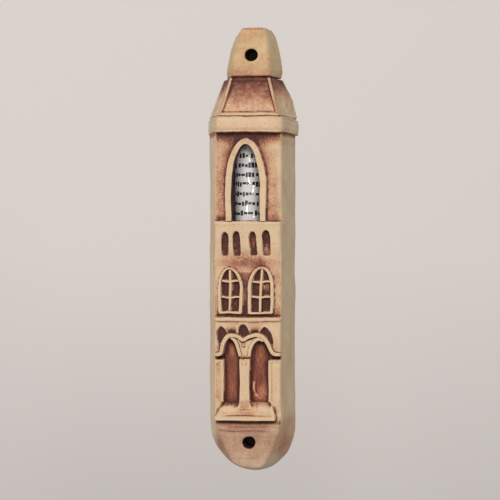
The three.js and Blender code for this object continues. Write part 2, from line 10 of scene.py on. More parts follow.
import bmesh
import bpy
import numpy as np
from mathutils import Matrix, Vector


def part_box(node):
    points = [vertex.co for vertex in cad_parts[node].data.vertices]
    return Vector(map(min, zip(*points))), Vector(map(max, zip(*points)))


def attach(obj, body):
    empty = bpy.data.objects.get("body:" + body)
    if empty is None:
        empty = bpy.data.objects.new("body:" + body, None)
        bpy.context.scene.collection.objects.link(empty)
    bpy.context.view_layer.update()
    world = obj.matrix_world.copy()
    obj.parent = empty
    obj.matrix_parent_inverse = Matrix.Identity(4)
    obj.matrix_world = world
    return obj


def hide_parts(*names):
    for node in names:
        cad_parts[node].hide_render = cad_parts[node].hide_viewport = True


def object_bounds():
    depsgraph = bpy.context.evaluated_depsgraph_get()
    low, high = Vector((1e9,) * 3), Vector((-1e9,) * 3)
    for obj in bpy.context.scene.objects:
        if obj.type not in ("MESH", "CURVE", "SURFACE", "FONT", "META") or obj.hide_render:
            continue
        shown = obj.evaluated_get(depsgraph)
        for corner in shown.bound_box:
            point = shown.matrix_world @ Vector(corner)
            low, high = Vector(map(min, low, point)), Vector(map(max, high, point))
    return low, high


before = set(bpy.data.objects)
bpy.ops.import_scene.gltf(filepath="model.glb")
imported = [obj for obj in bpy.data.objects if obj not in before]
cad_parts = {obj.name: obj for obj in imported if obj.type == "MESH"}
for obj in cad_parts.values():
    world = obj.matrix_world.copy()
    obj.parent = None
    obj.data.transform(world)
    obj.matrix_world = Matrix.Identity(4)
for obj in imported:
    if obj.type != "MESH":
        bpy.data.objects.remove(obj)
cad_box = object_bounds()

MM = 0.001
TOWER_DEPTH = 17.5  # the tower's plain front face stands this far in front of the wall
ROLL_X, ROLL_Y = -0.9, -7.4  # the roll's upright axis
SCREW_HOLES = [(0.8, 80.6), (0.25, -79.2)]  # the middles of the upper and the lower bore, in x and z


def span(node):
    """A CAD node's lowest and highest corner, in millimetres."""
    return np.array(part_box(node)) / MM


# ---- Camera ----

VIEW_AZIMUTH = math.radians(6.0)
VIEW_DISTANCE = 700.0
MM_PER_PIXEL = 0.41  # on the front of the tower
FRAME_PIXELS = 500
SENSOR = 36.0
AIM_DEPTH = 19.0  # the camera turns about a point this far in front of the wall
AIM_RIGHT = 0.96  # the case hangs this much left of the middle of the frame


def add_object(name, data):
    thing = bpy.data.objects.new(name, data)
    bpy.context.scene.collection.objects.link(thing)
    return thing


def make_camera():
    data = bpy.data.cameras.new("camera")
    data.sensor_width = SENSOR
    data.lens = VIEW_DISTANCE / MM_PER_PIXEL / FRAME_PIXELS * SENSOR
    data.clip_start = 0.01
    data.clip_end = 20
    camera = add_object("camera", data)
    right = np.array([math.cos(VIEW_AZIMUTH), math.sin(VIEW_AZIMUTH), 0])
    back = np.array([math.sin(VIEW_AZIMUTH), -math.cos(VIEW_AZIMUTH), 0])
    place = np.array([0, -AIM_DEPTH, 0]) + right * AIM_RIGHT + back * VIEW_DISTANCE
    camera.location = place * MM
    camera.rotation_euler = (math.pi / 2, 0, VIEW_AZIMUTH)
    bpy.context.scene.camera = camera


make_camera()

# ---- Mesh helpers ----


def mesh_object(name, points, faces):
    """A new smooth-shaded object from points in millimetres."""
    mesh = bpy.data.meshes.new(name)
    mesh.from_pydata((np.asarray(points, float) * MM).tolist(), [], faces)
    mesh.update()
    mesh.shade_smooth()
    return add_object(name, mesh)


def read_vectors(values, name):
    flat = np.empty(len(values) * 3, np.float32)
    values.foreach_get(name, flat)
    return flat.reshape(-1, 3).astype(float)


def get_points(piece):
    """The vertices of a piece, in millimetres."""
    return read_vectors(piece.data.vertices, "co") / MM


def get_normals(piece):
    return read_vectors(piece.data.vertex_normals, "vector")


def take(node):
    """A clay piece and its vertices."""
    return clay[node], get_points(clay[node])


def set_points(piece, points):
    piece.data.vertices.foreach_set("co", (points * MM).astype(np.float32).ravel())
    piece.data.update()


def fade(low, high, value):
    """0 at low, 1 at high, and a smooth change between them."""
    t = np.clip((value - low) / (high - low), 0, 1)
    return t * t * (3 - 2 * t)


NOISE_SIZE = 64
NOISE_TABLE = np.random.default_rng(7).random((NOISE_SIZE, NOISE_SIZE, NOISE_SIZE)) * 2 - 1


def noise(points, size, offset=0.0):
    """Smooth noise from -1 to 1 at each point. size is one wave, in millimetres, or one for each axis."""
    scaled = np.asarray(points, float) / np.asarray(size, float) + offset * 7.31
    cell = np.floor(scaled).astype(int)
    part = scaled - cell
    part = part * part * (3 - 2 * part)
    total = np.zeros(len(scaled))
    for step in np.ndindex(2, 2, 2):
        x, y, z = ((cell + step) % NOISE_SIZE).T
        total += np.prod(np.where(step, part, 1 - part), axis=1) * NOISE_TABLE[x, y, z]
    return total


WELD = 0.0005  # corners of a CAD solid that are closer than this are one corner
BACK_MARGIN = 0.02  # a solid's back is what lies this close to its rearmost point


def clay_copy(node, voxel, rounds, sink=0.0):
    """A CAD node's solid, remeshed and rounded like soft clay, and with its back pressed in by sink."""
    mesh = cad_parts[node].data.copy()
    body = bmesh.new()
    body.from_mesh(mesh)
    bmesh.ops.scale(body, vec=(1 / MM, 1 / MM, 1 / MM), verts=body.verts)
    bmesh.ops.remove_doubles(body, verts=body.verts, dist=WELD)
    if sink:
        back = max(v.co.y for v in body.verts)
        for v in body.verts:
            if v.co.y > back - BACK_MARGIN:
                v.co.y += sink
    body.to_mesh(mesh)
    body.free()
    rough = add_object("rough", mesh)
    remesh = rough.modifiers.new("remesh", "REMESH")
    remesh.mode = "VOXEL"
    remesh.voxel_size = voxel
    smooth = rough.modifiers.new("smooth", "SMOOTH")
    smooth.factor = 0.5
    smooth.iterations = rounds
    graph = bpy.context.evaluated_depsgraph_get()
    done = bpy.data.meshes.new_from_object(rough.evaluated_get(graph))
    done.name = f"{node}_clay"
    bpy.data.objects.remove(rough)
    bpy.data.meshes.remove(mesh)
    done.transform(((MM, 0, 0, 0), (0, MM, 0, 0), (0, 0, MM, 0), (0, 0, 0, 1)))
    done.shade_smooth()
    return add_object(f"{node}_clay", done)


def push(piece, amounts):
    """Moves each vertex along its normal by its own amount, in millimetres."""
    set_points(piece, get_points(piece) + get_normals(piece) * amounts[:, None])


def facing_front(piece):
    """From 0 on the sides and back to 1 on the front."""
    return fade(0.25, 0.7, -get_normals(piece)[:, 1])


def near_line(points, line):
    """The distance in x and z from each point to a broken line of [x, z] points."""
    flat = points[:, [0, 2]]
    best = np.full(len(flat), np.inf)
    for start, end in zip(line[:-1], line[1:], strict=True):
        start, end = np.array(start, float), np.array(end, float)
        along = end - start
        t = np.clip((flat - start) @ along / (along @ along), 0, 1)
        gap = np.linalg.norm(flat - start - t[:, None] * along, axis=1)
        best = np.minimum(best, gap)
    return best


def in_patch(points, x, z, half_x, half_z):
    """A soft-edged spot in x and z, 1 in its middle."""
    reach = ((points[:, 0] - x) / half_x) ** 2 + ((points[:, 2] - z) / half_z) ** 2
    return np.exp(-reach)


def add_spots(values, points, spots):
    """Adds soft spots to the value at each point: x, z, half width, half height and amount of each."""
    for x, z, half_x, half_z, amount in spots:
        values = values + amount * in_patch(points, x, z, half_x, half_z)
    return values


# ---- Clay pieces ----

# Each clay node's mesh pitch, smoothing rounds, how deep it is pressed in, and the height of its waves.
CLAY = {
    "tower_shell": (0.45, 6, 0, 0.18),
    "roof_block": (0.4, 5, 0, 0.14),
    "spire_block": (0.35, 12, 0, 0.2),
    "cornice_band": (0.3, 24, 0, 0.2),
    "roof_base_strip": (0.22, 4, 0, 0.08),
    "left_roof_rib": (0.18, 5, 0, 0.08), "right_roof_rib": (0.18, 5, 0, 0.08),
    "scroll_window_frame": (0.2, 11, 0.6, 0.14),
    "slit_window_panel": (0.22, 6, 0.6, 0.14),
    "left_window_frame": (0.16, 8, 0.6, 0.12), "right_window_frame": (0.16, 8, 0.6, 0.12),
    "left_glazing_bars": (0.14, 5, 0.3, 0.08), "right_glazing_bars": (0.14, 5, 0.3, 0.08),
    "string_course": (0.2, 8, 0.6, 0.14),
    "arcade_panel": (0.18, 6, 0.6, 0.12),
    "arcade_hood_mould": (0.16, 8, 0.6, 0.12),
    "left_door_arch": (0.16, 6, 0.6, 0.08), "right_door_arch": (0.16, 6, 0.6, 0.08),
    "spandrel": (0.16, 5, 0.6, 0.08),
    "spandrel_bead": (0.1, 2, 0.3, 0.02),
    "centre_column": (0.2, 8, 0.8, 0.14),
    "left_pilaster": (0.18, 5, 0.6, 0.12), "right_pilaster": (0.18, 5, 0.6, 0.12),
    "left_door_leaf": (0.2, 3, 0.3, 0.05), "right_door_leaf": (0.2, 3, 0.3, 0.05),
    "doorstep": (0.2, 6, 0.6, 0.14),
}


# The waves of hand-worked clay, from the longest: the share of the piece's wave height, and the length.
WAVES = [(1.0, 9), (0.55, 3.6), (0.22, 1.3)]
WAVE_SHIFT = 0.37  # each piece takes its waves this much farther on in the noise


def hand_waves(piece, height, offset):
    points = get_points(piece)
    waves = sum(share * noise(points, size, offset + i) for i, (share, size) in enumerate(WAVES))
    push(piece, height * waves)


clay = {}
for number, (node, (voxel, rounds, sink, height)) in enumerate(CLAY.items()):
    clay[node] = clay_copy(node, voxel, rounds, sink)
    hand_waves(clay[node], height, number * WAVE_SHIFT)

# ---- Shaping by hand ----


def press(piece, amounts):
    """Moves the front of a piece towards the wall, by an amount for each vertex."""
    points = get_points(piece)
    points[:, 1] += amounts * facing_front(piece)
    set_points(piece, points)


def soften(piece, share, rounds):
    """Rounds off a piece where share is above 0, by drawing each vertex towards its neighbours."""
    points = get_points(piece)
    edges = np.empty(len(piece.data.edges) * 2, np.int32)
    piece.data.edges.foreach_get("vertices", edges)
    start, end = edges.reshape(-1, 2).T
    count = np.bincount(edges, minlength=len(points))[:, None]
    for _ in range(rounds):
        total = np.zeros_like(points)
        for axis in range(3):
            total[:, axis] = np.bincount(start, points[end, axis], len(points))
            total[:, axis] += np.bincount(end, points[start, axis], len(points))
        points += 0.5 * share[:, None] * (total / count - points)
    set_points(piece, points)


def stands_out(points, behind):
    """How far each point stands in front of a plane this far behind the tower's plain face."""
    return np.maximum(-points[:, 1] - (TOWER_DEPTH - behind), 0)


def to_corner(piece):
    """Draws the ends of a piece out to the tower's corners, and thins them so that they run into it."""
    points = get_points(piece)
    x, y = points.T[:2]  # views: what moves x and y moves the points
    reach = np.abs(x)
    x += np.sign(x) * 0.45 * fade(11.6, 13.3, reach)
    y += 0.8 * fade(12.3, 13.8, reach) ** 1.5 * stands_out(points, 0.2)
    set_points(piece, points)


PANEL_TOP = 10.9  # the height of the slit panel's upper edge


def shape_slit_panel():
    """The panel stands proud at its top edge and runs out into the wall below the slits."""
    piece, points = take("slit_window_panel")
    y, z = points.T[1:]
    y += fade(1.5, -4.0, z) * 0.95 * stands_out(points, 0.15)
    y -= 0.18 * fade(1.6, 0, np.abs(z - PANEL_TOP)) * facing_front(piece)
    set_points(piece, points)


# The rims round the lunettes, as broken lines in x and z.
LUNETTE_RIMS = [
    [(-12.9, -36), (-12.8, -32.6), (-11.9, -30.9), (-10.6, -30.9), (-9.2, -32)],
    [(-4.5, -33.4), (-4.2, -31.6), (-3.2, -30.4), (-2.5, -30.1)],
    [(-1.1, -30.2), (-0.1, -31), (0.6, -32.6)],
    [(4.9, -33.2), (5.6, -32), (6.9, -31.2), (8.6, -32), (10.2, -34.2), (11, -37), (11, -40)],
]
RIM_HEIGHT = 0.55
# Pockets pressed into the ground between the lunettes, as spots with a depth.
POCKETS = [(-6.5, -34.0, 2.8, 1.5, 0.9), (2.8, -34.0, 2.5, 1.4, 0.9)]


def shape_arcade():
    """Thin rims stand round the lunettes, and the ground sinks between them, above the hood."""
    piece, points = take("arcade_panel")
    sunk = add_spots(np.zeros(len(points)), points, POCKETS)
    rim = np.full(len(points), np.inf)
    for line in LUNETTE_RIMS:
        rim = np.minimum(rim, near_line(points, line))
    press(piece, sunk - RIM_HEIGHT * fade(0.8, 0.2, rim))


STEP_TOP, STEP_DEPTH = -62.7, 17.75  # where the doorstep's face starts: its height and its depth
STEP_SLOPE, STEP_HEIGHT = 0.58, 6  # how much deeper it gets for each millimetre down, and how far down


def shape_column():
    """The column's foot spreads out and melts into the doorstep."""
    piece, points = take("centre_column")
    y, z = points.T[1:]
    step_face = STEP_DEPTH + STEP_SLOPE * np.clip(STEP_TOP - z, 0, STEP_HEIGHT)
    y += fade(-61.0, -65.3, z) * np.maximum(-y - step_face, 0)
    set_points(piece, points)


def shape_door(node, offset):
    """Upright drag marks and shallow dents in a door, as a wet brush and a tool leave them."""
    piece, points = take(node)
    marks = 0.16 * noise(points, (0.9, 3, 9), offset) + 0.1 * noise(points, (2.4, 3, 6), offset + 1)
    press(piece, marks)


def shape_right_door():
    """A tool mark runs down and out across the foot of the right door."""
    piece, points = take("right_door_leaf")
    ridge = near_line(points, [(2.2, -54.8), (2.3, -57.4), (3.4, -59.6), (5.6, -61.4)])
    groove = near_line(points, [(3.4, -55.5), (3.6, -57.6), (5, -59.4), (7, -60.8)])
    press(piece, 0.3 * fade(1.1, 0.2, groove) - 0.5 * fade(0.7, 0.1, ridge))


BAND_MIDDLE, BAND_GROOVE = 51.6, 53.3  # heights of the cornice's middle and of the groove drawn along it


def shape_cornice():
    """The band swells between soft edges, is creased at its left end, and sags at its right."""
    piece, points = take("cornice_band")
    fold = near_line(points, [(-15.5, 54.6), (-14.6, 53.2), (-13.9, 52.2)])
    groove = np.abs(points[:, 2] - BAND_GROOVE - 0.15 * noise(points, 6, 2))
    press(piece, 0.3 * fade(0.6, 0.1, fold) + 0.12 * fade(0.5, 0.1, groove))
    points = get_points(piece)
    outward = fade(0.5, 0.9, 1 - np.abs(get_normals(piece)[:, 2]))
    edge = fade(1.2, 2.9, np.abs(points[:, 2] - BAND_MIDDLE))
    push(piece, -0.45 * edge * outward)
    points = get_points(piece)
    x, _, z = points.T
    z -= 0.7 * fade(14, 19.5, x) + 0.25 * fade(-14, -19, x)
    z += 0.25 * noise(points * (1, 0, 0), 11, 6)
    set_points(piece, points)


def shape_roof_strip():
    """The strip's ends are pressed down on to the cornice."""
    piece, points = take("roof_base_strip")
    x, _, z = points.T
    out = fade(14, 19, np.abs(x))
    x -= np.sign(x) * 0.9 * out
    z -= np.where(x > 0, 0.8, 0.3) * out
    set_points(piece, points)


def shape_doorstep():
    """A lip stands along the step's lower edge, with a fine groove drawn above it."""
    piece, points = take("doorstep")
    groove = near_line(points, [(-9.5, -68), (-2, -67.75), (4, -67.95), (10, -68.15)])
    lip = near_line(points, [(-12.6, -69.1), (-2, -68.85), (10.8, -69.1)])
    brushed = 0.08 * noise(points, (1.0, 3, 6), 9)
    press(piece, 0.4 * fade(0.6, 0.1, groove) - 0.3 * fade(0.9, 0.2, lip) + brushed)


def shape_pilaster(node):
    """The pilaster's toe runs out into the wall beside the step, and its cap is marked with a tool."""
    piece, points = take(node)
    points[:, 1] += 0.85 * fade(-60.5, -67.5, points[:, 2]) * stands_out(points, 0.1)
    set_points(piece, points)
    cap = near_line(points, [(-13, -46.5), (-11.2, -46.2)])
    cap = np.minimum(cap, near_line(points, [(9.2, -46.2), (13, -46.2)]))
    press(piece, 0.35 * fade(0.5, 0.1, cap) + 0.1 * noise(points, (0.9, 3, 7), 10))


BEAD_SIZE = 0.74  # of the CAD bead's


def shape_bead():
    """The bead is rolled small."""
    piece, points = take("spandrel_bead")
    middle = (points.max(axis=0) + points.min(axis=0)) / 2
    points[:, [0, 2]] = middle[[0, 2]] + BEAD_SIZE * (points[:, [0, 2]] - middle[[0, 2]])
    set_points(piece, points)


def shape_spire():
    """A dent at the top right edge, and broad soft swellings all over."""
    piece, points = take("spire_block")
    dent = in_patch(points, 5.6, 88.4, 0.9, 0.8)
    push(piece, -0.45 * dent + 0.14 * noise(points, 5, 3))


# Hollows pressed into the tower's own face, likewise.
HOLLOWS = [
    (-12.1, -44.7, 1.9, 0.75, 1.1), (11.6, -44.7, 1.9, 0.75, 1.1), (-6, -27.2, 6.5, 0.4, 0.6),
    (6.5, -27.2, 6, 0.4, 0.9), (-9, 47.2, 6, 0.8, 0.3), (8, 47.2, 6, 0.8, 0.3),
]


def shape_shell():
    """The foot is rounded off and rippled, the front dented, and the sides left wavy."""
    piece = clay["tower_shell"]
    bore_x, bore_z = SCREW_HOLES[1]
    points = get_points(piece)
    x, y, z = points.T
    foot = fade(-69.5, -72, z) * fade(4, 7, -y) * fade(3.2, 4.4, np.hypot(x - bore_x, z - bore_z))
    soften(piece, foot, 30)
    points = get_points(piece)
    _, y, z = points.T
    pressed = add_spots(np.zeros(len(points)), points, HOLLOWS)
    ripple = 0.12 * np.sin(z * 2.9 + noise(points, 9, 4)) * fade(-71, -73, z) * fade(-78, -74.5, z)
    press(piece, np.where(-y > 15, pressed, 0) + ripple)
    points = get_points(piece)
    push(piece, np.where(np.abs(points[:, 0]) > 12, 0.22 * noise(points, (9, 9, 26), 5), 0))


# Spots where the relief leans, and how far it is moved in x.
LEANS = [(-7.4, -8.5, 4.4, 5.5, -0.5), (5.8, -8, 4.4, 5.5, 0.25)]
BEND_LONG, BEND_SHORT = 8, 3.2  # the lengths of the waves that the relief is bent in


def hand_drawn():
    """Bends all the front relief in its own plane, so that no line on it is ruled."""
    for piece in clay.values():
        points = get_points(piece)
        share = fade(15, 17, -points[:, 1])
        spot = points * (1, 0, 1)
        bend_x = 0.26 * noise(spot, BEND_LONG, 11) + 0.14 * noise(spot, BEND_SHORT, 12)
        bend_z = 0.22 * noise(spot, BEND_LONG, 13) + 0.14 * noise(spot, BEND_SHORT, 14)
        points[:, 0] += share * bend_x
        points[:, 2] += share * bend_z
        for x, z, half_x, half_z, move in LEANS:
            points[:, 0] += move * (share * in_patch(spot, x, z, half_x, half_z))
        set_points(piece, points)


WIDE_PIECES = (
    "slit_window_panel", "string_course", "arcade_panel", "arcade_hood_mould",
    "left_pilaster", "right_pilaster",
)
for wide in WIDE_PIECES:
    to_corner(clay[wide])
shape_slit_panel()
shape_arcade()
shape_column()
shape_door("left_door_leaf", 1)
shape_door("right_door_leaf", 5)
shape_right_door()
shape_cornice()
shape_roof_strip()
shape_doorstep()
shape_bead()
shape_pilaster("left_pilaster")
shape_pilaster("right_pilaster")
shape_spire()
shape_shell()
hand_drawn()

box = np.array(cad_box) / MM
for piece in clay.values():
    set_points(piece, np.clip(get_points(piece), *box))

# ---- The oxide wash ----

# The front is worked out on a grid of square cells, with columns in x and rows in height.
GRID, GRID_CORNER, GRID_SHAPE = 0.3, (-22.0, -96.0), (150, 640)


def grid_cell(points):
    cell = ((points[:, [0, 2]] - GRID_CORNER) / GRID).astype(int)
    return tuple(np.clip(cell, 0, np.array(GRID_SHAPE) - 1).T)


def spread_high(depths, cells):
    """Each cell takes the highest value within a number of cells of it."""
    for _ in range(cells * 2):  # each pass works along one axis, and then swaps the two
        padded = np.pad(depths, ((1, 1), (0, 0)), mode="edge")
        depths = np.maximum(np.maximum(padded[:-2], depths), padded[2:]).T
    return depths


def pits_filled(depths, cells):
    """The surface with every pit filled that is narrower than twice this many cells."""
    return -spread_high(-spread_high(depths, cells), cells)


def front_depths():
    """How far the clay stands in front of the wall in each cell, and which cells are part of the front."""
    depths = np.zeros(GRID_SHAPE)
    flat = np.zeros(GRID_SHAPE)
    for piece in clay.values():
        points = get_points(piece)
        column, row = grid_cell(points)
        np.maximum.at(depths, (column, row), -points[:, 1])
        level = facing_front(piece) > 0.9
        flat[column[level], row[level]] = 1
    return pits_filled(depths, 1), pits_filled(flat, 2) > 0.5


def window_sum(values, cells, axis):
    """The sum over a window of this many cells to both sides, along one axis."""
    pad = [(0, 0), (0, 0)]
    pad[axis] = (cells + 1, cells)
    total = np.cumsum(np.pad(values, pad), axis=axis)
    ends = np.take(total, range(2 * cells + 1, total.shape[axis]), axis=axis)
    return ends - np.take(total, range(total.shape[axis] - 2 * cells - 1), axis=axis)


def local_mean(depths, inside, reach):
    """The mean depth of the front within about this many millimetres of each cell."""
    cells = max(1, round(reach / GRID / 2))
    total, count = depths * inside, inside.astype(float)
    for axis in (0, 1, 0, 1):
        total, count = window_sum(total, cells, axis), window_sum(count, cells, axis)
    return total / np.maximum(count, 0.5)


CREASE_REACH, HOLLOW_REACH, FIELD_REACH = 0.6, 2.4, 7
PIT_CELLS = 10  # a slit or pane is narrower than twice this many cells
OFF_THE_FRONT = -99  # a depth that no cell has

# How far each cell lies behind what is close to it, round it, and in the whole storey.
depths, inside = front_depths()
crease = local_mean(depths, inside, CREASE_REACH) - depths
hollow = local_mean(depths, inside, HOLLOW_REACH) - depths
field = local_mean(depths, inside, FIELD_REACH) - depths
# How far it lies down a pit.
closed = pits_filled(np.where(inside, depths, OFF_THE_FRONT), PIT_CELLS)
pit = np.where(inside, local_mean(closed, inside, CREASE_REACH) - depths, 0)

# Spots that hold more wash, or that were wiped cleaner.
WASH_SPOTS = [
    (-0.8, 44.3, 4.5, 1.3, 0.13), (0, 47.4, 13, 2, 0.35), (-11.6, 46.5, 2, 5, 0.1),
    (6.5, 44.5, 4, 2.5, 0.12), (-7.5, 42, 2.5, 4, 0.22), (-10.6, 20, 2.4, 10, -0.17),
    (9, 22, 1.8, 12, -0.34), (-10.8, 13, 3.4, 1.2, 0.34), (10, 13.6, 2.6, 1.4, 0.15),
    (11.3, 26, 2.4, 14, 0.04), (0, -5.4, 11.5, 2.4, 0.54), (-3, -2.2, 9, 1.8, 0.16),
    (5.6, -4.6, 1.6, 2.2, 0.25), (10.8, -4.5, 2.4, 2.6, -0.12), (-12.3, -14, 1.2, 9, -0.05),
    (11.6, -16, 2.2, 10, 0.06), (-1, -16, 1.6, 8, 0.08), (0, -27.1, 14, 0.6, 0.8),
    (-6.5, -32.8, 2.5, 1.8, 0.16), (3.2, -32.8, 2.5, 1.7, 0.14), (0, -29.9, 14, 0.5, 0.12),
    (-12, -39.6, 1.6, 2.6, 0.25), (12.4, -39.6, 1.2, 3, 0.1), (-1.4, -44.2, 2, 0.9, 0.45),
    (-12.3, -59.5, 1.5, 4, 0.12), (-1, -66.8, 6, 0.9, 0.2), (-1.2, -65.3, 2.6, 0.9, 0.16),
    (-8, -64.4, 2.6, 1.6, -0.3), (6, -64.4, 2.6, 1.6, -0.26), (0, -69.2, 13, 0.7, -0.3),
    # The spot at height -72, under the doorstep's lip, is partly the tongue's tone and partly painted
    # shadow under the lip.
    (0, -70.4, 12, 0.8, -0.15), (0, -72, 13, 2.2, 0.2), (0, -76, 14, 5, 0.16),
    (0, -82, 22, 12, 0.34), (-15.2, 55.3, 1.3, 0.5, 0.6), (15, 55, 5, 0.4, 0.4),
    (5.6, 88.4, 0.8, 0.7, 0.5), (-10.5, -80, 3, 5, 0.16),
]
# Thin lines of wash in grooves and tool marks, or wiped off ridges: line, half width, amount.
WASH_LINES = [
    ([(2.5, -54.3), (2.15, -56.6), (2.9, -59.3), (4.8, -61)], 0.3, -0.5),
    ([(3.3, -55), (3.3, -57.6), (4.6, -59.8)], 0.3, 0.15), ([(-12.1, -61.8), (-12.1, -47.4)], 1, 0.14),
    ([(-15.1, 55.7), (-14.4, 54.8), (-13, 54.9)], 0.3, 0.5), ([(-1.95, -37.9), (-1.3, -37.8)], 0.3, 0.7),
    ([(-2, -39.6), (-1.3, -39.6)], 0.25, 0.6), ([(-2.35, -38.4), (-2.3, -39.4)], 0.2, 0.3),
    ([(-11.7, -39.2), (-12.1, -40.6)], 0.4, 0.35),
    ([(-5.5, -35.9), (-4, -36.5), (-2.4, -37.8)], 0.28, 0.6),
    ([(-1.3, -37.4), (0.2, -36.6), (1.7, -36.2)], 0.28, 0.5),
    ([(-11.2, -30.9), (-12.6, -32.4), (-12.8, -35)], 0.3, 0.12),
    ([(-11.1, -61.4), (-11.1, -47.2)], 0.2, 0.14), ([(-12.9, -61.4), (-12.9, -47.2)], 0.2, 0.12),
    ([(-12.7, -46.7), (-11.2, -46.3)], 0.28, 0.42), ([(9.95, -46.8), (9.95, -61.6)], 0.45, 0.22),
    ([(9.2, -46.2), (11.4, -46.3), (12.9, -46.2)], 0.25, 0.34), ([(11.5, -48), (11.6, -60)], 0.5, 0.08),
    # The next line, down the doorstep's left end, is wash in the joint and painted shadow beside the step.
    ([(-9.9, -62.3), (-11.2, -65), (-12.6, -68)], 0.32, 0.35),
    ([(9.5, -63.5), (11.8, -68), (11.9, -69.8)], 0.5, -0.4), ([(-3.2, 91.8), (5.6, 91.7)], 0.4, 0.3),
    ([(-8, -67.9), (-2, -67.7), (3.5, -67.9)], 0.24, 0.55), ([(4, -68), (9.5, -68.1)], 0.2, 0.2),
    ([(-8.7, -64.2), (-8.3, -63.5)], 0.25, 0.4), ([(-4.4, -63.6), (-5.6, -64.6)], 0.3, 0.2),
    ([(3.6, -63.4), (3.9, -65.2)], 0.2, 0.2),
    ([(-12, -74.1), (-5, -74.6), (3, -74.2), (6.5, -74.5)], 0.22, 0.3),
    ([(-8, -72.7), (2, -72.9), (9, -72.5)], 0.2, 0.18),
    ([(-6, -85.6), (-1, -85.9), (4, -85.5)], 0.25, 0.12),
    ([(-12.4, -29.5), (-8, -29.7), (-4.2, -29.4)], 0.25, 0.3),
    ([(-4.4, -29.5), (-3.9, -30.6)], 0.25, 0.3), ([(-2.2, -46.2), (-2.3, -46.9)], 0.25, 0.35),
    ([(-0.6, -46.2), (-0.5, -46.8)], 0.25, 0.35),
    ([(-10.6, 57), (-3, 56.8), (4, 57.1), (10.4, 56.9)], 0.25, 0.3),
    ([(-7.5, 69.6), (0, 69.9), (7.4, 69.7)], 0.3, 0.25), ([(-6.5, 68.6), (-10.5, 56.9)], 0.35, 0.5),
    ([(8.1, 68), (11.1, 57.1)], 0.35, 0.45),
]
# Flecks and smears where the wash lifted off inside the slits, panes and doors.
LIFTED_SPOTS = [
    (7.1, 0.2, 1.9, 2.6, -0.6), (1.9, 3, 1.4, 4, -0.4), (-5.5, 2.2, 0.3, 1, -0.6),
    (-9.4, 7, 1, 0.6, -0.3), (-4.6, -0.6, 1.2, 0.6, -0.35), (6.6, -15.2, 0.3, 1.1, -0.75),
    (7.9, -14.6, 1.5, 2.8, -0.62), (7.6, -10.2, 1.4, 1.6, -0.22), (2.2, -11.4, 0.7, 1, -0.45),
    (-8.9, -14, 0.35, 0.4, -0.7), (-4.6, -20.8, 0.35, 0.3, -0.6), (-5.2, -22.5, 1.2, 2, -0.26),
    (0.7, -23, 1.6, 1.6, -0.22), (-9.2, -25, 1.2, 1, -0.1), (9.2, -33, 0.9, 2.4, -0.2),
    (-1.6, -31.6, 1.1, 0.7, -0.15), (-6.6, -41, 1.6, 3.4, -0.18), (-6.6, -57, 2, 2.5, -0.12),
    (4.2, -46, 1, 4, -0.12), (5.4, -58.6, 2.4, 3, -0.36), (2.3, -55.6, 0.35, 1.6, -0.7),
    (3.3, -59.6, 0.9, 0.5, -0.5), (-13.2, -65.5, 1.3, 3.6, -0.4), (12.9, -65.5, 1.3, 3.6, -0.4),
    (12.6, -68.6, 1.1, 1.3, -0.45), (12.2, -66.4, 0.8, 2.2, -0.25),
]
# Where orange wash ran down over the rounded foot: spots of less rawness.
STAINS = [(14, -80, 3.5, 6, -0.9), (-11, -81, 2.5, 4, -0.6)]
SIDE_SPOTS = [
    (14, -80, 4.5, 7, 0.4), (15.5, -71, 3, 4, 0.15), (-12.5, -80.5, 3, 5, 0.5),
    (-9, -87, 3, 3, 0.3), (16, 44.5, 6, 2, 0.12),
]
BORE_STAIN = 3.1  # the wash stays in the bores, this far from their middles
CORNICE_FOOT, SIDE_TOP = 47.8, 48.6
ROOF_FOOT, ROOF_TOP = 57, 71.2
RIB_JOINT = 55.1  # the height where the strip meets the cornice
SPIRE_FOOT = 71.7
WINDOW_MIDDLE = -0.8  # the scroll window's middle, in x
TROUGH_HALF = 7.5  # half the width of the trough, with some to spare
TROUGH_FOOT, TROUGH_DEPTH, BACK_EDGE = -60, 14.6, 0.6  # its lower end, its depth, and the rim of the back


def add_lines(wash, points):
    for line, half, amount in WASH_LINES:
        wash = wash + amount * np.exp(-((near_line(points, line) / half) ** 2))
    return wash


# How much wash each kind of hollow holds, and how much ridges and the tower's corners lose.
BASE_WASH, CREASE_WASH, HOLLOW_WASH, FIELD_WASH = 0.06, 0.75, 0.2, 0.55
PIT_WASH, RECESS_WASH, RIDGE_WIPE, CORNER_WIPE = 0.45, 0.4, 0.1, 0.6


def front_wash(points):
    """Most wash in creases, hollows, pits and recesses, and least on ridges and corners."""
    x, y, z = points.T
    cell = grid_cell(points)
    # Relief wash reaches to just below the doorstep's lip, so the band under the lip stays dark: oxide in
    # the crease, and painted shadow under the lip.
    near = inside[cell] * fade(-72.2, -70.8, z)
    wash = BASE_WASH + CREASE_WASH * near * fade(0.05, 0.7, crease[cell])
    wash += HOLLOW_WASH * near * fade(0.05, 0.9, hollow[cell])
    wash += FIELD_WASH * near * fade(-0.15, 0.9, field[cell])
    wash += PIT_WASH * fade(0.5, 1.8, pit[cell])
    wash -= RIDGE_WIPE * near * fade(0.05, 0.4, -crease[cell])
    recess = fade(0.3, 1.3, depths[cell] + y) * fade(-70.5, -69.5, z)
    wash = add_spots(wash + RECESS_WASH * recess, points, WASH_SPOTS)
    wash *= 1 - CORNER_WIPE * (fade(12.7, 13.5, np.abs(x)) * (z > -69))
    wash = wash + 0.07 * noise(points, 4, 4) + 0.06 * noise(points, 1.6, 5)
    return add_spots(add_lines(wash, points), points, LIFTED_SPOTS)


def side_wash(points):
    """Nearly clean, with a dark line under the cornice."""
    height = points[:, 2]
    wash = 0.1 + 0.1 * noise(points, 8, 6) + 0.06 * noise(points, 2.5, 7)
    wash += 0.6 * fade(1.8, 0, np.abs(height - CORNICE_FOOT)) * (height < SIDE_TOP)
    return add_spots(wash, points, SIDE_SPOTS)


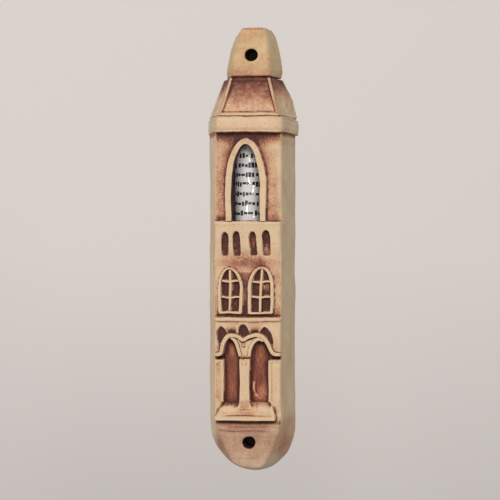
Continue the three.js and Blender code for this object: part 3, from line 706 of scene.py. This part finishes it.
def roof_wash_and_shade(points, front):
    """Dark under the spire, and paler down the slope: wash, and painted shade under the spire."""
    height = points[:, 2]
    wash = front * (0.3 + 0.6 * fade(ROOF_FOOT, ROOF_TOP, height))
    wash += (1 - front) * (0.14 + 0.7 * fade(61, 71.5, height))
    wash = wash + 0.12 * noise(points, 4, 4) + 0.12 * noise(points, 1.2, 5)
    wash += front * 0.35 * fade(0.03, 0.3, crease[grid_cell(points)])
    return wash + front * (add_lines(wash, points) - wash)


def rib_wash(points, base):
    joint = fade(0.4, 0, np.abs(points[:, 2] - RIB_JOINT))
    return add_lines(base + 0.12 * noise(points, 3, 4) + 0.3 * joint, points)


def spire_wash(points, front):
    """Nearly clean, with a dark line at the foot."""
    height = points[:, 2]
    wash = 0.1 + front * 0.08 + 0.14 * fade(80, 72, height)
    wash = wash + 0.1 * noise(points, 5, 4) + 0.06 * noise(points, 1.5, 5)
    return add_lines(wash + 0.5 * fade(72.6, SPIRE_FOOT, height), points)


def door_wash(points):
    edge = fade(0.1, 1.2, hollow[grid_cell(points)])
    wash = 0.84 + 0.3 * edge + 0.1 * noise(points, (1.2, 3, 9), 6)
    return add_spots(add_lines(wash, points), points, LIFTED_SPOTS)


def frame_opening_shade(wash, points, normals, front):
    """The scroll window's frame takes full wash on the faces that look into the opening, which is painted
    shade inside the opening.
    """
    x, _, z = points.T
    sideways = normals[:, 0] * (x - WINDOW_MIDDLE) < 0
    down = (normals[:, 2] < -0.3) & (z > 30)
    return np.where((sideways | down) & (front < 0.5), 1.0, wash)


def shell_wash(wash, points, front):
    """The trough and the back hold little wash, and the walls of the scroll window much: oxide, and
    painted shade inside the opening.
    """
    depth, height = -points[:, 1], points[:, 2]
    in_line = np.abs(points[:, 0] - ROLL_X) < TROUGH_HALF
    in_trough = (depth < TROUGH_DEPTH) & (depth > BACK_EDGE) & in_line & (height > TROUGH_FOOT)
    wash = np.where(in_trough, 0.16 + 0.1 * noise(points, 6, 3), wash)
    wash = np.where(depth < BACK_EDGE, 0.1 + 0.1 * noise(points, 6, 3), wash)
    opening = in_line & (front < 0.5) & (depth > 3)
    # Dark wash round the window's height: partly oxide, partly painted shade seen through the opening.
    stain_and_shade = fade(8, 10.5, height) * fade(47.5, 45, height) * fade(3, 6, depth)
    return np.where(opening, np.maximum(wash, stain_and_shade), wash)


def relief_wash(points, normals, front):
    """The front's wash on what faces forward or is part of the relief, and the side's elsewhere."""
    on_front = front_wash(points)
    wash = front * on_front + (1 - front) * side_wash(points)
    relief = fade(12, 15.5, -points[:, 1]) * fade(13.4, 12.6, np.abs(points[:, 0]))
    relief *= normals[:, 1] < 0.3
    return wash + (1 - front) * relief * (on_front - wash)


def wash_of(node, piece):
    """From 0, wiped clean, to 1, full wash, at each vertex."""
    points, normals, front = get_points(piece), get_normals(piece), facing_front(piece)
    if node == "roof_block":
        wash = roof_wash_and_shade(points, front)
    elif node == "roof_base_strip":
        wash = rib_wash(points, 0.12)
    elif node in ("left_roof_rib", "right_roof_rib"):
        wash = rib_wash(points, 0.24)
    elif node == "spire_block":
        wash = spire_wash(points, front)
    elif node in ("left_door_leaf", "right_door_leaf"):
        wash = door_wash(points)
    else:
        wash = relief_wash(points, normals, front)
    if node == "scroll_window_frame":
        wash = frame_opening_shade(wash, points, normals, front)
    if node == "tower_shell":
        wash = shell_wash(wash, points, front)
    for x, z in SCREW_HOLES:
        bore = np.hypot(points[:, 0] - x, points[:, 2] - z)
        wash = np.where((bore < BORE_STAIN) & (-points[:, 1] > 0.8) & (front < 0.6), 1.0, wash)
    return np.clip(wash, 0, 1)


def store(piece, name, values):
    layer = piece.data.attributes.new(name, "FLOAT", "POINT")
    layer.data.foreach_set("value", values.astype(np.float32))


SIDE_RAWNESS = 0.62


def rawness(piece):
    """1 on the rounded foot and less on the sides and back, where the clay is left plain and greyer."""
    points = get_points(piece)
    foot = fade(-70.5, -73, points[:, 2])
    raw = np.maximum(SIDE_RAWNESS * (1 - facing_front(piece)), foot)
    return np.clip(add_spots(raw, points, STAINS), 0, 1)


for node, piece in clay.items():
    store(piece, "wash", wash_of(node, piece))
    store(piece, "raw", rawness(piece))

# ---- Materials ----


def srgb(*display):
    """A linear colour from display values of 11 to 255."""
    return [*(((value / 255 + 0.055) / 1.055) ** 2.4 for value in display), 1]


WHITE = (1, 1, 1, 1)
EVENLY = (1, 1, 1)  # grain that isn't stretched
MIX_SHARE, MIX_FIRST, MIX_SECOND, MIX_COLOUR = 0, 6, 7, 2  # the sockets of a Mix node for colours


class Nodes:
    """Short calls that add nodes to one material and wire them up."""

    def __init__(self, name):
        self.material = bpy.data.materials.new(name)
        self.material.use_nodes = True
        self.tree = self.material.node_tree
        self.tree.nodes.clear()
        self.output = self.tree.nodes.new("ShaderNodeOutputMaterial")

    def add(self, kind, inputs=None, **settings):
        node = self.tree.nodes.new(f"ShaderNode{kind}")
        for key, value in settings.items():
            setattr(node, key, value)
        self.feed(node, inputs or {})
        return node

    def feed(self, node, inputs):
        for key, value in inputs.items():
            if isinstance(value, bpy.types.NodeSocket):
                self.tree.links.new(value, node.inputs[key])
            else:
                node.inputs[key].default_value = value

    def place(self, stretch=EVENLY):
        """Object coordinates in millimetres, with each axis stretched."""
        coordinates = self.add("TexCoord").outputs["Object"]
        scale = [s / MM for s in stretch]
        return self.add("Mapping", {"Vector": coordinates, "Scale": scale}).outputs["Vector"]

    def noise(self, size, detail=3, stretch=EVENLY, roughness=0.5):
        """Noise from 0 to 1 whose waves are size millimetres long."""
        inputs = {"Vector": self.place(stretch), "Scale": 1 / size, "Detail": detail}
        return self.add("TexNoise", {**inputs, "Roughness": roughness}).outputs["Fac"]

    def math(self, operation, first, second=0.0, third=0.0, clamp=False):
        inputs = {0: first, 1: second, 2: third}
        return self.add("Math", inputs, operation=operation, use_clamp=clamp).outputs[0]

    def ramp(self, value, stops):
        node = self.add("ValToRGB", {"Fac": value})
        ramp = node.color_ramp
        while len(ramp.elements) < len(stops):
            ramp.elements.new(0.5)
        for element, (place, colour) in zip(ramp.elements, stops, strict=True):
            element.position = place
            element.color = colour
        return node.outputs["Color"]

    def mix(self, share, first, second, blend="MIX"):
        node = self.add("Mix", data_type="RGBA", blend_type=blend, clamp_factor=True)
        self.feed(node, {MIX_SHARE: share, MIX_FIRST: first, MIX_SECOND: second})
        return node.outputs[MIX_COLOUR]

    def finish(self, kind, inputs):
        """Adds the shader that the surface gets."""
        shader = self.add(kind, inputs)
        self.tree.links.new(shader.outputs[0], self.output.inputs["Surface"])
        return self.material


# The clay's colour by how much wash is on it.
WASH_STOPS = [
    (0, srgb(218, 191, 156)), (0.16, srgb(211, 178, 144)), (0.36, srgb(196, 149, 118)),
    (0.55, srgb(172, 121, 96)), (0.75, srgb(138, 86, 67)), (0.9, srgb(106, 62, 51)),
    (1, srgb(74, 42, 36)),
]
RAW_TINT = (0.98, 1.15, 1.24, 1)
WARM_TINT = (1.0, 0.93, 0.84, 1)
SPECK = srgb(96, 62, 48)
SPECK_SIZE, SPECK_CHANCE, SPECK_STRENGTH = 0.13, 0.2, 0.55


def clay_level(n, raw, extra, streak, speckle):
    """How much wash shows: what is stored, broken up by blotches and grain where it is half wiped."""
    wash = n.add("Attribute", attribute_name="wash").outputs["Fac"]
    blotch = n.noise(2.2, 4, streak, 0.6)
    fine = n.noise(0.55, 3, streak, 0.7)
    mottle = n.math("MULTIPLY_ADD", blotch, 0.4, -0.2 - speckle / 2)
    mottle = n.math("MULTIPLY_ADD", fine, speckle, mottle)
    middling = n.math("MULTIPLY", wash, n.math("SUBTRACT", 1.08, wash))
    strength = n.math("MULTIPLY_ADD", middling, 2.2, 0.18)
    strength = n.math("MULTIPLY", strength, n.math("MULTIPLY_ADD", raw, -0.6, 1.0))
    level = n.math("MULTIPLY_ADD", mottle, strength, wash)
    return n.math("ADD", level, extra, clamp=True)


def clay_colour(n, level, raw, tint):
    """The colour at that level, warmer in broad patches, greyer where the clay is raw, and with specks."""
    warm = n.math("MULTIPLY_ADD", n.noise(7, 3), 1.6, -0.62, clamp=True)
    colour = n.mix(warm, n.ramp(level, WASH_STOPS), WARM_TINT, "MULTIPLY")
    colour = n.mix(1.0, colour, tint, "MULTIPLY")
    colour = n.mix(raw, colour, RAW_TINT, "MULTIPLY")
    cells = n.add("TexVoronoi", {"Vector": n.place(), "Scale": 0.55, "Randomness": 1.0})
    dot = n.math("LESS_THAN", cells.outputs["Distance"], SPECK_SIZE)
    draw = n.add("SeparateColor", {"Color": cells.outputs["Color"]}).outputs[0]
    speck = n.math("MULTIPLY", dot, n.math("GREATER_THAN", draw, 1 - SPECK_CHANCE))
    return n.mix(n.math("MULTIPLY", speck, SPECK_STRENGTH), colour, SPECK)


def clay_material(name, extra=0.0, tint=WHITE, streak=EVENLY, speckle=1.6):
    """Matt fired clay. extra is added to the wash, and streak and speckle stretch and strengthen grain."""
    n = Nodes(name)
    raw = n.add("Attribute", attribute_name="raw").outputs["Fac"]
    colour = clay_colour(n, clay_level(n, raw, extra, streak, speckle), raw, tint)
    pits = n.noise(0.35, 4, EVENLY, 0.65)
    relief = n.math("MULTIPLY_ADD", n.noise(1.6, 3, streak), 1.6, pits)
    bump = n.add("Bump", {"Height": relief, "Strength": 0.6, "Distance": 0.14 * MM})
    rough = n.math("MULTIPLY_ADD", pits, 0.16, 0.66)
    look = {"Base Color": colour, "Roughness": rough, "Normal": bump.outputs[0]}
    return n.finish("BsdfPrincipled", {**look, "Specular IOR Level": 0.3})


tower_clay = clay_material("tower_clay")
strip_clay = clay_material("strip_clay")
spire_clay = clay_material("spire_clay", tint=(0.93, 0.925, 0.81, 1), speckle=1.2)
roof_clay = clay_material("roof_clay", speckle=0.9)
door_clay = clay_material(
    "door_clay", extra=-0.03, tint=(1.03, 0.87, 0.8, 1), streak=(1.4, 1, 0.3), speckle=0.9
)

# The material and the slot of each piece that isn't a strip of pale clay.
DRESS = {
    "spire_block": (spire_clay, "pale_clay"),
    "tower_shell": (tower_clay, "raw_clay"),
    "roof_block": (roof_clay, "raw_clay"),
    "left_door_leaf": (door_clay, "oxide_clay"), "right_door_leaf": (door_clay, "oxide_clay"),
}

for node, piece in clay.items():
    material, slot = DRESS.get(node, (strip_clay, "pale_clay"))
    piece.data.materials.clear()
    piece.data.materials.append(material)
    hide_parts(node)
    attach(piece, "case")

# ---- The scroll ----

scroll_low, scroll_high = span("scroll")
SHEET_OUTER, SHEET_INNER = 5.98, 3.2  # radii of the sheet's outermost and innermost turn
SHEET_TURNS, SHEET_THICK = 3.4, 0.14
SHEET_EDGE = 0.36  # where the sheet's outer edge lies, as a share of a turn
SHEET_CROWDING = 1.6  # above 1, the turns lie closer together towards the outside
SHEET_MARGIN = 0.1  # the sheet ends this far inside the CAD scroll's ends
STEPS_PER_TURN, SHEET_ROWS = 56, 60


def sheet_radius(turned):
    """The radius of the rolled sheet after a number of turns in from its outer edge."""
    share = turned / SHEET_TURNS
    return SHEET_OUTER - (SHEET_OUTER - SHEET_INNER) * share**SHEET_CROWDING


def sheet_place(turned, z, lift):
    """A point on the rolled sheet, a number of turns in from its edge, at one height."""
    angle = 2 * math.pi * (SHEET_EDGE - turned)
    bend = 0.05 * math.sin(z * 0.2 + turned * 5) * min(1, turned * 3)
    radius = sheet_radius(turned) + bend + lift
    return ROLL_X + radius * math.cos(angle), ROLL_Y + radius * math.sin(angle), z


def grid_faces(rows, across):
    """The quads of a grid of points that is stored row by row."""
    faces = []
    for row in range(rows - 1):
        for i in range(across - 1):
            a = row * across + i
            faces.append((a, a + 1, a + across + 1, a + across))
    return faces


def make_paper():
    steps = int(SHEET_TURNS * STEPS_PER_TURN)
    points = []
    for z in np.linspace(scroll_low[2] + SHEET_MARGIN, scroll_high[2] - SHEET_MARGIN, SHEET_ROWS):
        points += [sheet_place(SHEET_TURNS * i / steps, z, 0) for i in range(steps + 1)]
    faces = [(a, d, c, b) for a, b, c, d in grid_faces(SHEET_ROWS, steps + 1)]
    paper = mesh_object("scroll_paper", points, faces)
    solid = paper.modifiers.new("thickness", "SOLIDIFY")
    solid.thickness = SHEET_THICK * MM
    solid.offset = 0
    return paper


def paper_material():
    n = Nodes("scroll_paper")
    fibre = n.noise(0.6, 4, (1, 1, 0.5), 0.6)
    cloud = n.noise(9, 3)
    colour = n.ramp(fibre, [(0.2, srgb(236, 231, 229)), (0.8, srgb(248, 244, 242))])
    colour = n.mix(n.math("MULTIPLY", cloud, 0.25), colour, srgb(232, 224, 214))
    bump = n.add("Bump", {"Height": fibre, "Strength": 0.25, "Distance": 0.05 * MM})
    look = {"Base Color": colour, "Roughness": 0.62, "Normal": bump.outputs[0]}
    return n.finish("BsdfPrincipled", look)


paper = make_paper()
paper.data.materials.append(paper_material())
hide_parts("scroll")
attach(paper, "scroll")

LINE_PITCH, LINE_COUNT = 3.97, 22
LINE_FOOT = 0.95  # how far below a line's middle its marks stand
LINE_START, LINE_SHARE = 2.5, 0.9  # where a line starts, and the share of the outer turn it fills
INK_LIFT = 0.03
INK_STEP = 0.4  # a mark follows the paper's curve in steps about this long
BLOCKS_BELOW, DASHES_BELOW = 0.45, 0.75  # of a draw from 0 to 1. The other marks are squares.
DASH_HEIGHT, SQUARE = 1.0, 1.25


def next_mark(draw):
    """The width, shift, rise and height of the next upright block, dash or square."""
    kind = draw.random()
    shift = draw.uniform(-0.1, 0.1)
    if kind < BLOCKS_BELOW:
        return draw.uniform(0.8, 1.3), shift, 0.0, draw.uniform(1.8, 2.2)
    if kind < DASHES_BELOW:
        return draw.uniform(1.3, 2.1), shift, draw.uniform(0.3, 1.1), DASH_HEIGHT
    return SQUARE, shift, draw.uniform(0.0, 0.9), SQUARE


def add_mark(points, faces, start, width, bottom, height):
    """A mark on the paper's outer turn. start and width run round it, in millimetres."""
    first = len(points)
    count = max(2, int(width / INK_STEP) + 1)
    for level in (0, 1):
        for i in range(count + 1):
            turned = (start + width * i / count) / (2 * math.pi * SHEET_OUTER)
            points.append(sheet_place(turned, bottom + height * level, SHEET_THICK / 2 + INK_LIFT))
    for i in range(count):
        a = first + i
        faces.append((a, a + 1, a + count + 2, a + count + 1))


def make_ink():
    """Rows of plain blocks, dashes and squares, which stand for writing and are no letters."""
    draw = np.random.default_rng(21)
    points, faces = [], []
    written = 2 * math.pi * SHEET_OUTER * LINE_SHARE
    middle = scroll_low[2] + (scroll_high[2] - scroll_low[2]) / 2
    for line in range(LINE_COUNT):
        base = middle + (line - (LINE_COUNT - 1) / 2) * LINE_PITCH - LINE_FOOT
        at = LINE_START + draw.uniform(0, 1.2)
        while at < written:
            for _ in range(int(draw.integers(3, 8))):
                width, shift, rise, height = next_mark(draw)
                add_mark(points, faces, at, width, base + shift + rise, height)
                at += width + draw.uniform(0.2, 0.36)
            at += draw.uniform(0.5, 1.1)
    return mesh_object("scroll_ink", points, faces)


def ink_material():
    n = Nodes("pen_ink")
    colour = n.ramp(n.noise(1.2, 3), [(0.3, srgb(18, 17, 19)), (0.8, srgb(40, 38, 40))])
    return n.finish("BsdfPrincipled", {"Base Color": colour, "Roughness": 0.5})


ink = make_ink()
ink.data.materials.append(ink_material())
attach(ink, "scroll")

# ---- The film sleeve ----

film_low, film_high = span("film_sleeve")
FILM_RADIUS = 6.38
FILM_NEAREST, FILM_FARTHEST = 6.14, 6.68  # it keeps clear of the paper and inside the CAD sleeve
FILM_START, FILM_TURNS = 0.3, 1.12
FILM_OVERLAP = 0.04  # the end of the film lies this much farther out than its start
FILM_MARGIN = 0.05  # the film ends this far inside the CAD sleeve's ends
FILM_STEPS, FILM_ROWS = 260, 210

# Flat creases in the film: degrees right of the front, height, half length and half width.
FILM_CREASES = [
    (9.6, 37.9, 2, 0.7), (27.9, 34.1, 2.6, 0.5), (7, 28.6, 2.4, 0.7),
    (23.4, 24.8, 2.8, 0.7), (0.4, 17.4, 2.7, 0.8), (27.9, 15.1, 2.6, 0.7),
]
# The way a crease has to face to mirror the small light, right of the front and upward.
GLINT_FACING, GLINT_RISE = 15.0, 4.0


def film_facet(angle, height, facing, z, half_length, half_width):
    """How far a crease moves the film outward: it makes it flat there, and tilts it to the light."""
    turned = angle + math.pi / 2 - math.radians(facing)
    across = FILM_RADIUS * ((turned + math.pi) % (2 * math.pi) - math.pi)
    along = height - z
    reach = np.exp(-((across / half_width) ** 4) - (along / half_length) ** 6)
    flat_face = math.tan(math.radians(facing - GLINT_FACING)) * across + across**2 / (2 * FILM_RADIUS)
    return (flat_face - math.tan(math.radians(GLINT_RISE)) * along) * reach


def make_film():
    """A clear sheet rolled into a tube, a little over one turn, uneven and creased."""
    lengthways = np.linspace(film_low[2] + FILM_MARGIN, film_high[2] - FILM_MARGIN, FILM_ROWS)
    share, height = np.meshgrid(np.linspace(0, 1, FILM_STEPS), lengthways)
    angle = 2 * math.pi * (FILM_START + FILM_TURNS * share)
    flat = np.stack([share.ravel() * 30, np.zeros(share.size), height.ravel()], axis=1)
    uneven = 0.016 * noise(flat, (4.5, 1, 10), 3)
    radius = FILM_RADIUS + FILM_OVERLAP * share + uneven.reshape(share.shape)
    for crease_line in FILM_CREASES:
        radius += film_facet(angle, height, *crease_line)
    radius = np.clip(radius, FILM_NEAREST, FILM_FARTHEST)
    points = np.stack([ROLL_X + radius * np.cos(angle), ROLL_Y + radius * np.sin(angle), height], axis=-1)
    return mesh_object("film_wrap", points.reshape(-1, 3), grid_faces(FILM_ROWS, FILM_STEPS))


def film_material():
    n = Nodes("clear_film")
    rub = n.noise(2.0, 3, (1, 1, 0.2))
    gloss = n.add("BsdfAnisotropic", {"Color": WHITE, "Roughness": 0.12})
    clear = n.add("BsdfTransparent", {"Color": (0.97, 0.97, 0.97, 1)})
    fresnel = n.add("Fresnel", {"IOR": 1.6}).outputs[0]
    share = n.math("MULTIPLY_ADD", rub, 0.02, n.math("MULTIPLY", fresnel, 1.5))
    share = n.math("MINIMUM", share, 0.14)
    return n.finish("MixShader", {0: share, 1: clear.outputs[0], 2: gloss.outputs[0]})


film = make_film()
film.data.materials.append(film_material())
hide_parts("film_sleeve")
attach(film, "sleeve")

# ---- Backdrop and light ----

WALL_GAP = 0.6  # metres behind the case, so that the back can be lit and looked at
WALL_HALF = 2600.0
LOW_SHADE = 0.86  # how much darker the wall is painted at the foot of the picture, as painted shade


def wall_material(name, colour):
    """Matt paint on the side that faces the camera, darker towards the foot as painted shade, and glowing
    a little as painted light. The other side is clear, to look through.
    """
    n = Nodes(name)
    height = n.add("SeparateXYZ", {"Vector": n.add("TexCoord").outputs["Object"]}).outputs["Z"]
    level = n.math("MULTIPLY_ADD", height, 2.5, 0.5, clamp=True)
    low = [v * LOW_SHADE for v in colour[:3]] + [1]
    shade = n.ramp(level, [(0.0, low), (0.5, colour), (1.0, colour)])
    look = {"Base Color": shade, "Emission Color": shade, "Emission Strength": 0.25}
    paint = n.add("BsdfPrincipled", {**look, "Roughness": 0.95, "Specular IOR Level": 0.1})
    clear = n.add("BsdfTransparent", {"Color": WHITE})
    behind = n.add("NewGeometry").outputs["Backfacing"]
    return n.finish("MixShader", {0: behind, 1: paint.outputs[0], 2: clear.outputs[0]})


def make_wall():
    half, y = WALL_HALF, WALL_GAP / MM
    corners = [(-half, y, -half), (half, y, -half), (half, y, half), (-half, y, half)]
    wall = mesh_object("wall", corners, [(0, 1, 2, 3)])
    wall.data.materials.append(wall_material("wall_paint", srgb(214, 208, 204)))


PATCH_GAP = 0.3  # the patches stand this far behind the case
PATCH_RADIUS, PATCH_CORNERS = 3.6, 24
TROUGH_OUTLINE = [(-8.15, -54.2), (6.35, -54.2), (6.35, 50.2), (-8.15, 50.2)]
SHADE_SHEET_COLOUR, PALE_WALL = srgb(40, 34, 30), srgb(160, 155, 151)


def make_wall_patches():
    """Sheets close behind the screw holes and the trough: dark ones of painted shade, the trough's seen
    only by the camera, and a pale one that the camera doesn't see, to light the trough.
    """
    patches = {"trough_shade_sheet": (TROUGH_OUTLINE, SHADE_SHEET_COLOUR), "trough_glow": (TROUGH_OUTLINE, PALE_WALL)}
    turns = np.linspace(0, 6.02, PATCH_CORNERS)
    for name, (x, z) in zip(("upper", "lower"), SCREW_HOLES, strict=True):
        ring = [(x + PATCH_RADIUS * math.cos(a), z + PATCH_RADIUS * math.sin(a)) for a in turns]
        patches[f"{name}_hole_wall"] = (ring, SHADE_SHEET_COLOUR)
    for name, (outline, colour) in patches.items():
        patch = mesh_object(name, [(x, PATCH_GAP, z) for x, z in outline], [tuple(range(len(outline)))])
        patch.data.materials.append(wall_material(f"{name}_paint", colour))
        # The trough's dark sheet of painted shade shows only to the camera, and the pale sheet only
        # lights.
        patch.visible_camera = name != "trough_glow"
        patch.visible_diffuse = patch.visible_glossy = name != "trough_shade_sheet"


def area_light(name, place, aim, size, energy, colour=(1, 1, 1)):
    """A rectangular light, in metres and watts."""
    data = bpy.data.lights.new(name, "AREA")
    data.shape = "RECTANGLE"
    data.size, data.size_y = size
    data.energy = energy
    data.color = colour
    lamp = add_object(name, data)
    lamp.location = place
    away = np.array(place, float) - np.array(aim, float)
    azimuth = math.atan2(away[0], -away[1])
    elevation = math.atan2(away[2], math.hypot(away[0], away[1]))
    lamp.rotation_euler = (math.pi / 2 - elevation, 0, azimuth)


SKY, SKY_STRENGTH = srgb(236, 232, 230), 0.38


def make_world():
    world = bpy.data.worlds.new("world")
    world.use_nodes = True
    sky = world.node_tree.nodes["Background"]
    sky.inputs["Color"].default_value = SKY
    sky.inputs["Strength"].default_value = SKY_STRENGTH
    bpy.context.scene.world = world


make_wall()
make_wall_patches()
make_world()
area_light("key", (-0.5, -1.4, 0.6), (0, 0, 0), (0.7, 0.7), 8.0, (1.0, 0.985, 0.97))
area_light("front_fill", (0.25, -1.35, 0.5), (0, 0, 0), (0.5, 0.3), 8.5)
area_light("front_strip", (0.52, -1.17, 0.2), (0, 0, 0.02), (0.1, 0.15), 0.75)
area_light("left_fill", (-1.4, -0.35, 0.3), (0, 0, 0), (0.8, 0.8), 3.5)
bpy.context.scene.view_settings.view_transform = "Standard"
